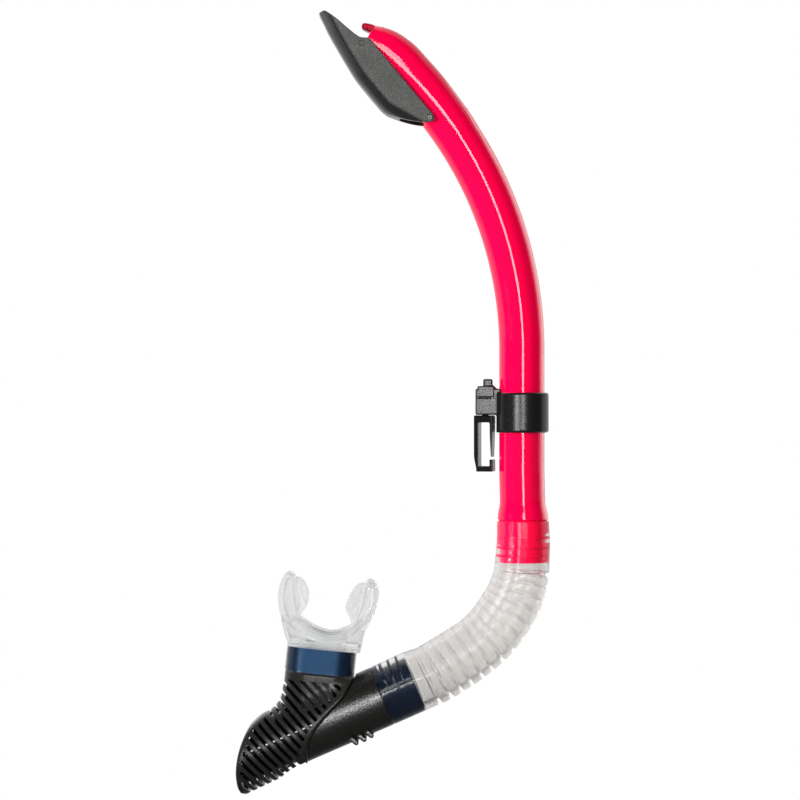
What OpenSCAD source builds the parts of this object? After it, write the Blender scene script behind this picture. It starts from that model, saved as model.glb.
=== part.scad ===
// Flexible-hose snorkel with splash guard, purge valve and mask-strap keeper.
// Frame: origin at the centre of the strap slot in the keeper clip, +Z up along the straight
// part of the barrel, +X from the clip towards the barrel. Barrel and hose bend in the XZ
// plane, towards -X at both ends. Front and left mean -X, right means +X.
// Two-number points are [x, z].

/* [Barrel] */
// Outer diameter of the barrel
barrel_od = 25; // [22:0.5:28]
// Wall thickness of the barrel
barrel_wall = 1.8; // [1.4:0.1:2.4]
// Distance from the clip's post to the barrel's axis
barrel_x = 20; // [19.5:0.25:21]
// Height at which the straight part of the barrel ends
straight_top = 51.8; // [45:0.5:60]
// Radius of the barrel's long bend
bend_r = 213.4; // [200:1:230]
// Angle turned by the long bend
bend_deg = 47.5; // [46:0.5:48]
// Radius of the hood at the top of the barrel
hood_r = 36.3; // [34:0.5:38]
// Height of the shoulder that the hose butts against
shoulder_z = -41.4; // [-42:0.1:-41]
// Radius of the flared collar above the hose
collar_r = 14.3; // [13.5:0.1:15]

/* [Splash guard] */
// Overall width of the guard across the barrel
guard_w = 28.8; // [28.4:0.2:30]
// Thickness of the guard's side plates
guard_t = 1.8; // [1.4:0.1:1.8]
// Radius of the guard's snap studs and rivets
stud_r = 1.2; // [1:0.1:1.4]

/* [Hose] */
// Radius of the hose's tight bend, on its centre line
tight_r = 52.25; // [48:0.5:56]
// Angle of the tight bend
tight_deg = 57; // [54:0.5:60]
// Length of the straight run after the tight bend
hose_run = 26.2; // [20:0.5:30]
// Radius of the slack bend
slack_r = 82.5; // [70:1:95]
// Outer radius over the ridges
ridge_r = 16.6; // [16.2:0.1:17]
// Outer radius between the ridges
groove_r = 15.2; // [14.8:0.1:15.6]
// Bore radius of the hose
hose_bore = 12; // [11:0.1:12.5]

/* [Lower body] */
// Radius of the body behind the hose
body_r = 16.6; // [16:0.1:17]
// Slope of the body below the horizontal, in degrees
body_slope = 23.4; // [22:0.1:25]
// Tilt of the mouthpiece port from the vertical, in degrees
port_tilt = 6; // [4:0.5:8]

/* [Purge cover] */
// Wall of the slotted cover
cover_t = 1.8; // [1.4:0.1:2]
// Distance from one slot to the next
slot_pitch = 4; // [3.8:0.1:4.4]
// Width of each slot
slot_w = 1.7; // [1.4:0.1:2]

/* [Keeper] */
// Outer radius of the keeper band
band_r = 14.85; // [14.5:0.05:15.2]
// Height of the keeper band
band_h = 22; // [20:0.5:24]
// Height of the strap slot
strap_h = 24; // [20:0.5:26]
// Width of the strap slot
strap_w = 6.2; // [5.5:0.1:6.4]
// Depth of the clip along Y, before it is swung
clip_d = 10; // [8:0.5:10.5]
// Angle by which the clip is swung from square
clip_turn = 12; // [0:1:14]

/* [Hidden] */
$fn = 72;
gap = 0.05;        // running clearance
press_gap = 0.02;  // clearance on a radius for pressed parts
lap = 0.1;         // run of one tube segment into the next
lap_step = 0.01;   // step in radius between segments that lap

// Barrel: the hood's centre is on the long bend's end radius, so the two are tangent
barrel_r = barrel_od / 2;
barrel_bore = barrel_r - barrel_wall;
bend_centre = [barrel_x - bend_r, straight_top];
hood_centre = bend_centre + (bend_r - hood_r) * [cos(bend_deg), sin(bend_deg)];
hood_start = bend_deg - 0.2;
hood_end = 94;

// Ringed spigot at the barrel's lower end
spigot_r = barrel_r + 0.4;
spigot_len = 23.6;
spigot_end = shoulder_z - spigot_len;
ring_drops = [9.9, 15.1, 19.8];    // rings below the shoulder
ring_h = 1.2;
ring_out = 0.5;

// Hose centre line: tight bend, straight run, slack bend
hose_top = spigot_end - 0.6;
slack_deg = (90 - body_slope) - tight_deg;
hose_turn = tight_deg + slack_deg;
tight_centre = [barrel_x - tight_r, hose_top];
tight_end = tight_centre + tight_r * [cos(tight_deg), -sin(tight_deg)];
slack_start = tight_end + hose_run * [-sin(tight_deg), -cos(tight_deg)];
slack_centre = slack_start + slack_r * [-cos(tight_deg), sin(tight_deg)];
slack_end = slack_centre + slack_r * [cos(hose_turn), -sin(hose_turn)];
cuff_len = 20.4;                   // lower cuff, over the body's spigot

// Body axis, pointing up towards the hose; the port meets it at joint
body_axis = [cos(body_slope), sin(body_slope)];
body_shoulder = slack_end - cuff_len * body_axis;
joint_run = 41;
joint = body_shoulder - joint_run * body_axis;
body_spigot = body_r - 2.35;
core_r = 14.6;                     // body inside the cover
airway_r = 11.6;

// Oval port; lengths run from the joint
port_half = 17.2;
port_depth = 11;
port_foot = 29.4;                  // lower edge of the mouthpiece collar
port_top = 43.3;

// End face of the purge chamber and its valve
seat_x = -121.1;
seat_z = joint[1] + (seat_x - joint[0]) * tan(body_slope);
seat_r = 12.2;
seat_t = 2.3;
hub_r = 3.2;
stem_r = 1.5;

// ---------- helpers ----------
// Catmull-Rom point between from and to, at t from 0 to 1
function spline(before, from, to, after, t) =
    0.5 * ((2 * from) + (to - before) * t
           + (2 * before - 5 * from + 4 * to - after) * t * t
           + (3 * from - before - 3 * to + after) * t * t * t);
// Smooth open curve through the stations, with the given steps between each two
function smooth(stations, steps) = let (last = len(stations) - 1)
    [for (i = [0 : last - 1]) for (k = [0 : steps - 1])
        spline(stations[max(i - 1, 0)], stations[i], stations[i + 1],
               stations[min(i + 2, last)], k / steps),
     stations[last]];
function unit(v) = v / norm(v);
// Closed anticlockwise outline moved inwards by a distance
function inset(outline, distance) = let (count = len(outline)) [for (i = [0 : count - 1])
    let (arrive = unit(outline[i] - outline[(i + count - 1) % count]),
         leave = unit(outline[(i + 1) % count] - outline[i]),
         normal = [-arrive[1], arrive[0]],
         sum = normal + [-leave[1], leave[0]])
    outline[i] + distance * sum / max(0.5, (sum * normal))];

// Slab in the XZ plane, centred across it
module slab(outline, width)
    rotate([90, 0, 0]) linear_extrude(width, center = true) polygon(outline);
// Children at a point, with their +Z turned to -Y (side 1) or +Y (side -1)
module across(point, side = 1)
    translate([point[0], 0, point[1]]) rotate([side * 90, 0, 0]) children();
// Children at a point, with their +Z tilted towards +X
module tilted(point, angle)
    translate([point[0], 0, point[1]]) rotate([0, angle, 0]) children();
// Children with +Z along the body axis, towards the hose
module on_body(point) tilted(point, 90 - body_slope) children();
// Children with +Z along the port axis, from the joint
module on_port() tilted(joint, port_tilt) children();
// Children with +Z into the body, from the centre of its end face
module on_seat() tilted([seat_x, seat_z], 90) children();

// Hollow round tube along +Z
module pipe(outer, inner, height) linear_extrude(height) difference() {
    circle(outer);
    circle(inner);
}
// Hollow bend in the XZ plane
module bend(centre, radius, outer, inner, start, turn) across(centre) rotate([0, 0, start])
    rotate_extrude(angle = turn, $fn = 180) translate([radius, 0]) difference() {
        circle(outer);
        circle(inner);
    }
// Straight-sided oval bar along +Z: half length along X, half depth along Y
module oval(half, depth, height) union() {
    for (side = [-1, 1]) translate([side * (half - depth), 0, 0]) cylinder(r = depth, h = height);
    translate([depth - half, -depth, 0]) cube([2 * (half - depth), 2 * depth, height]);
}

// ---------- splash guard outlines ----------
stud_at = [-68.1, 220.9];
rivet_at = [-30.4, 179.9];
guard_foot = [[-29.1, 182.0], [-27.9, 179.4], [-29.4, 177.6], [-35.4, 177.5], [-41.5, 178.4],
              [-47.0, 179.8]];
guard_front = [[-54.1, 182.0], [-57.2, 184.4], [-62.1, 190.0], [-67.0, 195.9], [-71.9, 202.1],
               [-76.8, 210.0], [-81.7, 218.3], [-86.6, 226.9], [-89.1, 232.1], [-91.4, 237.0]];
guard_top = [[-87.9, 238.3], [-82.2, 234.7], [-77.8, 230.9], [-73.9, 227.6],
             [-70.6, 225.1], [-68.4, 224.0], [-64.3, 223.8]];
// Back of the scoop's front wall
scoop_back = [[-47.5, 182.0], [-53.0, 184.2], [-60.4, 191.3], [-65.4, 197.3], [-70.2, 203.5],
              [-75.0, 211.2], [-79.8, 219.4], [-84.6, 227.9], [-88.8, 236.5]];
guard_line = concat(smooth(guard_foot, 2), smooth(guard_front, 3), smooth(guard_top, 2));
guard_hollow = concat([[-20, 185], [-20, 165], [-44, 176]], smooth(scoop_back, 3),
                      [[-86, 250], [-50, 250]]);

// ---------- purge cover outlines ----------
cover_left = [[-110.2, -123.6], [-111.0, -129.8], [-113.6, -138.0], [-117.4, -145.2],
              [-123.0, -148.6], [-129.5, -155.0], [-132.8, -161.2], [-135.3, -169.4],
              [-136.4, -178.2], [-135.8, -185.9], [-134.0, -190.6]];
cover_corner = [-131.2, -191.9];
// Edge where the cover meets the body, from the bottom up
cover_seam = [[-97.7, -175.8], [-97.9, -166.6], [-94.3, -157.2], [-87.1, -147.6],
              [-78.3, -138.2], [-72.3, -128.2]];
cover_side = concat(smooth(cover_left, 2), [cover_corner]);
cover_line = concat(cover_side, smooth(cover_seam, 3), [[-71.7, -127.5]]);

// ---------- barrel ----------
// Everything in front of this outline is cut away to open the head under the hood
head_cut = [[-62.6, 240], [-62.6, 226.3], [-64.0, 224.9], [-65.2, 223.4], [-70.8, 223.2],
            [-71.3, 218.4], [-69.6, 216.6], [-33.5, 177.2], [-36.5, 172.0],
            [-60, 150], [-120, 190], [-120, 250]];
hood_lip = [[-62.0, 226.4], [-66.0, 228.2], [-67.4, 229.3], [-67.6, 230.4], [-66.9, 231.3],
            [-62.0, 231.2]];
module flank_lug(point) across(point)
    cylinder(r = 3, h = 2 * (guard_w / 2 - guard_t - gap), center = true);
module pin_holes() for (point = [stud_at, rivet_at]) across(point)
    cylinder(r = stud_r, h = 60, center = true);
// Ringed spigot, collar and straight run as one turned profile
module barrel_straight() translate([barrel_x, 0, 0]) rotate_extrude() polygon(concat(
    [[barrel_bore, spigot_end], [spigot_r, spigot_end]],
    [for (i = [2 : -1 : 0]) let (z = shoulder_z - ring_drops[i])
        each [[spigot_r, z - ring_h / 2], [spigot_r + ring_out, z - ring_h / 4],
              [spigot_r + ring_out, z + ring_h / 4], [spigot_r, z + ring_h / 2]]],
    [[spigot_r, shoulder_z], [collar_r, shoulder_z], [collar_r, shoulder_z + 0.6],
     [barrel_r + 0.7, shoulder_z + 4.5], [barrel_r, shoulder_z + 9],
     [barrel_r, straight_top + lap], [barrel_bore, straight_top + lap]]));
module barrel() color([0.93, 0.02, 0.22]) difference() {
    union() {
        difference() {
            union() {
                barrel_straight();
                bend(bend_centre, bend_r, barrel_r - lap_step, barrel_bore + lap_step,
                     0, bend_deg);
                bend(hood_centre, hood_r, barrel_r - 2 * lap_step, barrel_bore + 2 * lap_step,
                     hood_start, hood_end - hood_start);
                // pads on both flanks for the studs and rivets, clear of the bore
                difference() {
                    union() {
                        flank_lug(stud_at);
                        flank_lug(rivet_at);
                    }
                    rotate([90, 0, 0]) linear_extrude(20, center = true)
                        translate([-120, 100]) square([110, 150]);
                }
            }
            slab(head_cut, 40);
        }
        slab(hood_lip, 8);
    }
    pin_holes();
}

// ---------- splash guard ----------
// Half section that breaks the corners of the scoop's front edge: depth behind it, Y
scoop_half = [[60, guard_w / 2], [6, guard_w / 2], [2.2, guard_w / 2 - 1.2],
              [-0.6, guard_w / 2 - 4], [-20, guard_w / 2 - 8]];
module splash_guard() color([0.25, 0.26, 0.26]) difference() {
    intersection() {
        slab(guard_line, guard_w);
        tilted(guard_front[0], -35) translate([-12, 0, -30]) linear_extrude(120)
            polygon(concat(scoop_half,
                [for (i = [4 : -1 : 0]) [scoop_half[i][0], -scoop_half[i][1]]]));
    }
    slab(guard_hollow, guard_w - 2 * guard_t);
    pin_holes();
}

pin_depth = 2.2;                   // reach of a pin inside the side plate
pin_r = stud_r - press_gap;
// A pair of headed pins, one through each side plate
module guard_pins(point, head_r) for (side = [-1, 1]) across(point, side) {
    translate([0, 0, guard_w / 2 - guard_t - pin_depth])
        cylinder(r = pin_r, h = guard_t + pin_depth);
    // joins the shank to its head
    translate([0, 0, guard_w / 2 - 0.01]) cylinder(r = pin_r, h = 0.02);
    translate([0, 0, guard_w / 2]) cylinder(r1 = head_r, r2 = head_r - 0.25, h = 0.35);
}
module guard_rivets() color([0.5, 0.5, 0.5]) guard_pins(rivet_at, 1.35);
module guard_snap_studs() color([0.3, 0.31, 0.31]) guard_pins(stud_at, 1.75);

// ---------- keeper ----------
band_z = 6.4;
band_chamfer = 0.8;
band_flat_x = 6.05;                // flat on the band beside the clip
block_z = 17.4;
block_top = 32;
block_step = 1.6;                  // height of the block's narrower top
block_half = 6;                    // half the block's width in Y
side_groove = 0.6;

// Swivel post, on the slot's centre line
post_r = 1.85;
post_top = 29;
post_head_r = 2.7;
post_head_z = 12.2;
post_head_top = 14.5;
post_chamfer = 0.3;

module keeper_band() difference() {
    translate([barrel_x, 0, band_z]) rotate_extrude() polygon([[barrel_r + gap, 0],
        [band_r - band_chamfer, 0], [band_r, band_chamfer], [band_r, band_h - band_chamfer],
        [band_r - band_chamfer, band_h], [barrel_r + gap, band_h]]);
    translate([band_flat_x - 10, -20, band_z - 5]) cube([10, 40, block_z - band_z + 5]);
}
module keeper_block() difference() {
    union() {
        translate([-5.5, -block_half, block_z])
            cube([14, 2 * block_half, block_top - block_z - block_step]);
        translate([-4.4, -block_half, block_top - block_step])
            cube([9, 2 * block_half, block_step]);
        // web from the block to the band
        slab([[4.4, block_top], [4.4, block_z], [9, block_z], [9, band_z + band_h - 0.6]], 4);
        // square cap on the block
        translate([-1.3, -2.6, block_top - 0.6]) cube([5.2, 5.2, 4.2]);
    }
    // groove along both Y faces
    for (side = [-1, 1]) translate([-6, side * block_half - side_groove / 2, 24.9])
        cube([9, side_groove, side_groove]);
    translate([barrel_x, 0, 0]) cylinder(r = barrel_r + gap, h = 60);
}
module keeper_ring() color([0.08, 0.08, 0.08]) difference() {
    union() {
        keeper_band();
        keeper_block();
    }
    // blind hole for the post
    cylinder(r = post_r + gap, h = post_top + gap);
}

module swivel_stud() color([0.1, 0.1, 0.1]) rotate_extrude() polygon([
    [0, post_head_z], [post_head_r - post_chamfer, post_head_z],
    [post_head_r, post_head_z + post_chamfer], [post_head_r, post_head_top],
    [post_r, post_head_top], [post_r, post_top - post_chamfer],
    [post_r - post_chamfer, post_top], [0, post_top]]);

// Clip frame round the strap slot
spine_t = 2.65;                    // left side
gate_t = 1.7;                      // right side
gate_tip_t = 1.1;
gate_tip_z = -7;
gate_gap = 1.3;                    // gap that the strap slips through
foot_t = 3;
head_t = 3.9;
module clip_profile() {
    half_w = strap_w / 2;
    half_h = strap_h / 2;
    difference() {
        translate([-half_w - spine_t, -half_h - foot_t])
            square([strap_w + spine_t + gate_t, strap_h + foot_t + head_t]);
        translate([-half_w, -half_h]) square([strap_w, strap_h]);
        translate([half_w - 1, gate_tip_z - gate_gap]) square([6, gate_gap]);
        // gate tapers towards its tip
        polygon([[half_w + gate_t, 8], [half_w + gate_t, gate_tip_z],
                 [half_w + gate_tip_t, gate_tip_z]]);
    }
}
module keeper_clip() color([0.1, 0.1, 0.1]) rotate([0, 0, -clip_turn]) difference() {
    rotate([90, 0, 0]) linear_extrude(clip_d, center = true) clip_profile();
    // hole for the post, and the window for its lower head
    cylinder(r = post_r + gap, h = 40);
    translate([0, 0, strap_h / 2 - 0.1])
        cylinder(r = post_head_r + 0.2, h = post_head_top + gap + 0.1 - strap_h / 2);
}

// ---------- hose ----------
ridge_root = groove_r - 0.6;
// Upper cuff, with grooves in its bore over the spigot's rings; z = 0 at its top
module upper_cuff() {
    bore = spigot_r + gap;
    end_z = hose_top - shoulder_z + gap - lap;
    translate([barrel_x, 0, shoulder_z - gap]) rotate_extrude() polygon(concat(
        [[bore, 0]],
        [for (drop = ring_drops) each [
            [bore, -drop + ring_h / 2 + 0.1], [bore + ring_out, -drop + ring_h / 4 + 0.1],
            [bore + ring_out, -drop - ring_h / 4 - 0.1], [bore, -drop - ring_h / 2 - 0.1]]],
        [[bore, -spigot_len - 0.1], [hose_bore, -spigot_len - 0.1],
         [hose_bore, end_z], [groove_r, end_z], [groove_r, 0.2 - spigot_len],
         [collar_r + 0.8, 0.4 - spigot_len], [collar_r, 0]]));
}
// Straight run with four ridges
module straight_run() tilted(slack_start, tight_deg) rotate_extrude() polygon(concat(
    [[hose_bore, -lap], [groove_r, -lap]],
    [for (k = [0 : 3]) let (z = 2.2 + 6.3 * k) each [[groove_r, z], [ridge_r, z + 0.5],
        [ridge_r, z + 3], [groove_r, z + 3.5]]],
    [[groove_r, hose_run + lap], [hose_bore, hose_run + lap]]));
module lower_cuff() on_body(slack_end) mirror([0, 0, 1]) rotate_extrude() polygon([
    [hose_bore, -lap], [hose_bore, 0.55], [body_spigot + gap, 0.55],
    [body_spigot + gap, cuff_len - gap], [body_r, cuff_len - gap],
    [body_r, 1], [body_r - 0.4, 0.2], [groove_r, 0.2], [groove_r, -lap]]);
module hose() color([0.85, 0.84, 0.82, 0.5]) union() {
    upper_cuff();
    bend(tight_centre, tight_r, groove_r - lap_step, hose_bore + lap_step,
         -tight_deg, tight_deg);
    straight_run();
    bend(slack_centre, slack_r, groove_r - lap_step, hose_bore + lap_step,
         -hose_turn, slack_deg);
    // ridges round the two bends
    for (k = [0 : 8]) bend(tight_centre, tight_r, ridge_r, ridge_root, -4.6 - 6.2 * k, 3.4);
    for (k = [0 : 1])
        bend(slack_centre, slack_r, ridge_r, ridge_root, -tight_deg - 3.6 - 4.2 * k, 2.4);
    lower_cuff();
}

// ---------- lower body ----------
// Everything on the hose side of the cover's seam
module hose_side() slab(concat([[-97.6, -230]],
    [for (point = smooth(cover_seam, 3)) point + [0.25, 0]],
    [[-71.4, -127.5], [-71.4, -100], [20, -100], [20, -230]]), 80);
module lower_body() color([0.12, 0.12, 0.12]) difference() {
    difference() {
        union() {
            on_body(joint) cylinder(r = core_r, h = joint_run + cuff_len - 0.6);
            on_body(joint) mirror([0, 0, 1]) cylinder(r = core_r, h = 60);
            on_port() translate([0, 0, 4]) oval(port_half, port_depth, port_top - 4);
            // full-size body between the seam and the hose
            intersection() {
                on_body(joint) mirror([0, 0, 1]) translate([0, 0, -joint_run])
                    cylinder(r = body_r, h = 80);
                hose_side();
            }
        }
        // turned down to a spigot for the hose
        on_body(body_shoulder) translate([0, 0, -0.001]) difference() {
            cylinder(r = 30, h = 40);
            cylinder(r = body_spigot, h = 41);
        }
        // straight end face
        translate([seat_x - 60, -40, -260]) cube([60, 80, 160]);
    }
    // airway
    on_body(joint) translate([0, 0, -8]) cylinder(r = airway_r, h = 90);
    on_port() oval(port_half - 2, port_depth - 2, 60);
    // purge chamber behind the valve
    intersection() {
        on_body(joint) mirror([0, 0, 1]) translate([0, 0, -9])
            cylinder(r = core_r - 1.8, h = 70);
        translate([seat_x + 2.4, -40, -260]) cube([80, 80, 160]);
    }
    on_seat() translate([0, 0, -10]) cylinder(r = seat_r, h = 12.5);
}

// ---------- purge cover ----------
slot_tilt = 46;
slot_centre = [-104, -160];
slot_step = slot_pitch * [sin(slot_tilt), cos(slot_tilt)];
// Area that the slots keep to, leaving a plain border
slot_field = [[-113.4, -128.4], [-122, -150.5], [-128.3, -156.6], [-131.2, -162.5],
              [-133.4, -170.4], [-134.0, -178.2], [-132.5, -196], [-101.5, -186],
              [-101.5, -165.5], [-97.5, -156.0], [-90.4, -146.2], [-81.6, -136.9],
              [-77.6, -130.4], [-90, -129]];
// Rounded form wrapped over the body and the port's root
module envelope(grow) union() {
    on_body(joint) translate([0, 0, -60]) cylinder(r1 = 19.6 + grow, r2 = 18.0 + grow, h = 100);
    on_port() translate([0, 0, -4]) oval(port_half + 2.3 + grow, port_depth + 2.3 + grow, 34);
}
module slots() for (k = [-11 : 9]) tilted(slot_centre + k * slot_step, slot_tilt)
    cube([90, 60, slot_w], center = true);
module purge_cover() color([0.14, 0.14, 0.14]) difference() {
    intersection() {
        slab(cover_line, 60);
        envelope(0);
    }
    // hollow, open towards the body along the seam
    intersection() {
        slab(inset(concat(cover_side, [cover_seam[0], [-60, -160], [-60, -118]]), cover_t), 60);
        envelope(-cover_t);
    }
    on_port() oval(port_half + 0.3, port_depth + 0.3, 80);
    intersection() {
        slots();
        slab(slot_field, 80);
    }
}

// ---------- purge valve ----------
spoke_w = 1.6;
spoke_t = 2;
disc_r = seat_r - 0.9;
// Rim and hub joined by four spokes
module valve_seat() color([0.2, 0.2, 0.2]) on_seat() union() {
    pipe(seat_r - press_gap, seat_r - 2, seat_t);
    pipe(hub_r, stem_r + gap, seat_t);
    for (angle = [45, 135]) rotate([0, 0, angle]) difference() {
        translate([-seat_r + 1, -spoke_w / 2, seat_t - spoke_t])
            cube([2 * seat_r - 2, spoke_w, spoke_t]);
        translate([0, 0, -1]) cylinder(r = hub_r - 0.5, h = 5);
    }
}
// Disc outside the seat, with a stem through the hub
module purge_valve() color([0.8, 0.8, 0.78, 0.7]) on_seat() rotate_extrude() polygon([
    [0, -1.4], [2.5, -1.4], [disc_r, -0.7], [disc_r, -gap],
    [stem_r, -gap], [stem_r, 3.9], [2.1, 4.0], [1.4, 6.5], [0, 6.9]]);

// ---------- mouthpiece ----------
collar_wall = 2.05;
// Neck and lip flange: left lobe, cup between the lobes, right lobe
lip_left = [[-108.8, -107.6], [-110.6, -101.8], [-112.4, -94.2], [-113.7, -86.4],
            [-113.4, -80.0], [-111.0, -72.6], [-107.7, -69.9], [-104.4, -72.6],
            [-103.0, -78.0]];
lip_cup = [[-102.4, -94.6], [-94.8, -99.6], [-85.0, -102.7], [-77.6, -101.0], [-73.6, -99.2]];
lip_right = [[-71.2, -92.0], [-67.6, -80.8], [-66.4, -76.6], [-63.3, -74.2], [-60.2, -76.8],
             [-58.6, -82.9], [-60.6, -91.6], [-63.4, -97.4], [-66.4, -103.6], [-68.2, -111.6]];
tab_left = [[-102.8, -95.2], [-98.2, -88.6], [-96.9, -83.4], [-97.7, -78.6], [-100.4, -74.0],
            [-103.8, -73.0], [-106.0, -78.0], [-106.0, -90.0]];
tab_right = [[-73.4, -99.0], [-74.7, -95.2], [-76.6, -91.0], [-76.6, -87.4], [-73.6, -81.0],
             [-70.4, -77.0], [-66.8, -76.4], [-65.0, -80.0], [-67.8, -93.0]];
module tabs() for (tab = [tab_left, tab_right]) slab(smooth(tab, 2), 5);
// Collar round the port, with a groove near its top
module neck_collar() on_port() translate([0, 0, port_foot]) difference() {
    oval(port_half + collar_wall, port_depth + collar_wall, 18);
    translate([0, 0, 13.4]) difference() {
        oval(port_half + 5, port_depth + 5, 2);
        translate([0, 0, -1]) oval(port_half + 1.1, port_depth + 1.1, 4);
    }
}
// Neck and flange, kept inside an upright elliptical column
module lip_flange() intersection() {
    slab(concat(smooth(lip_left, 2), smooth(lip_cup, 3), smooth(lip_right, 2)), 30);
    translate([-86, 0, 0]) mirror([0, 0, 1]) linear_extrude(200)
        polygon([for (a = [0 : 15 : 345]) [29 * cos(a), 17 * sin(a)]]);
}
module mouthpiece() color([0.8, 0.79, 0.77, 0.5]) difference() {
    union() {
        neck_collar();
        lip_flange();
        tabs();
    }
    on_port() oval(port_half + gap, port_depth + gap, port_top + 0.1);
    on_port() oval(13, 6, 70);
    // hollow between the flange's two lobes, except for the tabs
    difference() {
        slab(concat([[-104.9, -60], [-104.9, -96]],
            [for (point = smooth(lip_cup, 3)) point + [0, -1.2]],
            [[-68.5, -94], [-61, -60]]), 20);
        tabs();
        slab([[-120, -98], [-120, -120], [-50, -120], [-50, -98]], 60);
    }
}

barrel();
splash_guard();
guard_rivets();
guard_snap_studs();
keeper_ring();
swivel_stud();
keeper_clip();
hose();
lower_body();
purge_cover();
valve_seat();
purge_valve();
mouthpiece();
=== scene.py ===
# A snorkel: a red barrel with a grey splash guard on its tip, a black keeper band with a clip,
# a ribbed clear hose, and a black lower body with a slotted cover and a clear mouthpiece.
# It stands along Z in the XZ plane, with y = 0 as its middle. The barrel's straight part is at
# x = 20 mm and bends towards -X at the top; the hose bends towards -X at the bottom.
# The camera looks along +Y. Shape sizes are in mm; lights and shaders are in metres.
import math

import bpy
import numpy as np
import openvdb
from mathutils import Matrix, Vector


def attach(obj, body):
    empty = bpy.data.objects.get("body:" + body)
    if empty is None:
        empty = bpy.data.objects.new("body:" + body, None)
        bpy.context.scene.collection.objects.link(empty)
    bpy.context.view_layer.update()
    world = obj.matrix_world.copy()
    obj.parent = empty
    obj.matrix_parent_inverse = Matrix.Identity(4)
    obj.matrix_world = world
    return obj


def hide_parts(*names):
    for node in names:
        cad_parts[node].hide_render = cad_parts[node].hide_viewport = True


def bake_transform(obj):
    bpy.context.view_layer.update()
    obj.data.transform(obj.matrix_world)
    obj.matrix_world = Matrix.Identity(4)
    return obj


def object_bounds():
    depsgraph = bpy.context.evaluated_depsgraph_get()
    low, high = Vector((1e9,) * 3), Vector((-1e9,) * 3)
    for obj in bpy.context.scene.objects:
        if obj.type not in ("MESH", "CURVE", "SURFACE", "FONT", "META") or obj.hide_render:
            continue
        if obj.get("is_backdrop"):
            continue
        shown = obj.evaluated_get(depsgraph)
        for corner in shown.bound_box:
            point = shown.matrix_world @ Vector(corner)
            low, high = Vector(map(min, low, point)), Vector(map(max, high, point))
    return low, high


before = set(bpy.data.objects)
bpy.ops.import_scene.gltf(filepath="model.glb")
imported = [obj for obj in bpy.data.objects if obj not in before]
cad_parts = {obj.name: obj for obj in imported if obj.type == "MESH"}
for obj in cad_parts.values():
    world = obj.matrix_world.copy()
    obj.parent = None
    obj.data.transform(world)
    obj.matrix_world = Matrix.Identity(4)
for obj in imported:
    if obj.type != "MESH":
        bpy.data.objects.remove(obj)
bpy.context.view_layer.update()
rad = math.radians

# ------------------------------------------------------------------ driving sizes (mm)
VIEW_CENTRE = (-46.97, 24.34)   # x, z the camera faces; the guard is drawn in about it
WALL = 1.8                      # thickness of barrel, guard and cover

TUBE_X = 20.0                   # axis of the straight barrel
TUBE_R = 12.5
BEND = (-193.4, 51.8)           # centre of the barrel's bend, x, z
BEND_R = TUBE_X - BEND[0]
SHOULDER_Z = -41.4              # the hose butts against this step
SPIGOT_END = -65.0
RING_DROPS = (9.9, 15.1, 19.8)  # rings on the spigot, below the shoulder

HOSE_TOP = -65.6                # the hose starts to bend here
BEND1_R, BEND1_ANGLE = 52.25, 57.0
HOSE_RUN = 26.2                 # straight between the two bends
BEND2_R = 82.5
BODY_SLOPE = 23.4               # the body's axis above the horizontal, degrees
BEND2_ANGLE = 90 - BODY_SLOPE - BEND1_ANGLE
CUFF = 20.4                     # straight hose over the body's spigot
BODY_LENGTH = 41.0              # from the joint with the port to the hose shoulder
BODY_R = 16.9
FACE_X = -121.1                 # flat end of the body under the cover
PORT_TILT = 6.0                 # mouthpiece port from the vertical, degrees


def outward(angle):
    """Direction in XZ away from a hose bend's centre, after turning by angle (radians)."""
    return np.array([math.cos(angle), -math.sin(angle)])


BODY_DIR = np.array([math.cos(rad(BODY_SLOPE)), math.sin(rad(BODY_SLOPE))])
RUN_OUT = outward(rad(BEND1_ANGLE))
RUN_DIR = np.array([RUN_OUT[1], -RUN_OUT[0]])
BEND1 = np.array([TUBE_X - BEND1_R, HOSE_TOP])
RUN_START = BEND1 + BEND1_R * RUN_OUT
BEND2 = RUN_START + HOSE_RUN * RUN_DIR - BEND2_R * RUN_OUT
CUFF_START = BEND2 + BEND2_R * outward(rad(BEND1_ANGLE + BEND2_ANGLE))
SHOULDER = CUFF_START - CUFF * BODY_DIR
JOINT = SHOULDER - BODY_LENGTH * BODY_DIR      # where the body's axis meets the port's
PORT_DIR = np.array([math.sin(rad(PORT_TILT)), math.cos(rad(PORT_TILT))])
PORT_ACROSS = outward(rad(PORT_TILT))


# ------------------------------------------------------------------ combining distances
def ease(start, end, value):
    t = np.clip((value - start) / (end - start), 0, 1)
    return t * t * (3 - 2 * t)


def soft_min(a, b, reach):
    """Union with a fillet."""
    share = np.clip(0.5 + 0.5 * (b - a) / reach, 0, 1)
    return b + (a - b) * share - reach * share * (1 - share)


def soft_cut(solid, hole, reach):
    return -soft_min(-solid, hole, reach)


def cut(solid, hole):
    return np.maximum(solid, -hole)


def round_max(a, b, edge):
    """Intersection with a rounded edge."""
    over_a, over_b = np.maximum(a + edge, 0), np.maximum(b + edge, 0)
    return np.sqrt(over_a * over_a + over_b * over_b) + np.minimum(np.maximum(a, b) + edge, 0) - edge


def box(x, y, z, centre, half, edge):
    """Box with rounded edges, from its centre and half sizes."""
    dx, dy, dz = (np.abs(v - c) - s for v, c, s in zip((x, y, z), centre, half))
    ax, ay, az = (np.maximum(d + edge, 0) for d in (dx, dy, dz))
    inside = np.minimum(np.maximum(np.maximum(dx, dy), dz) + edge, 0)
    return np.sqrt(ax * ax + ay * ay + az * az) + inside - edge


def oval(across, y, half_length, half_width):
    """Straight-sided oval."""
    over = np.maximum(np.abs(across) - (half_length - half_width), 0)
    return np.sqrt(over * over + y * y) - half_width


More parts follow.
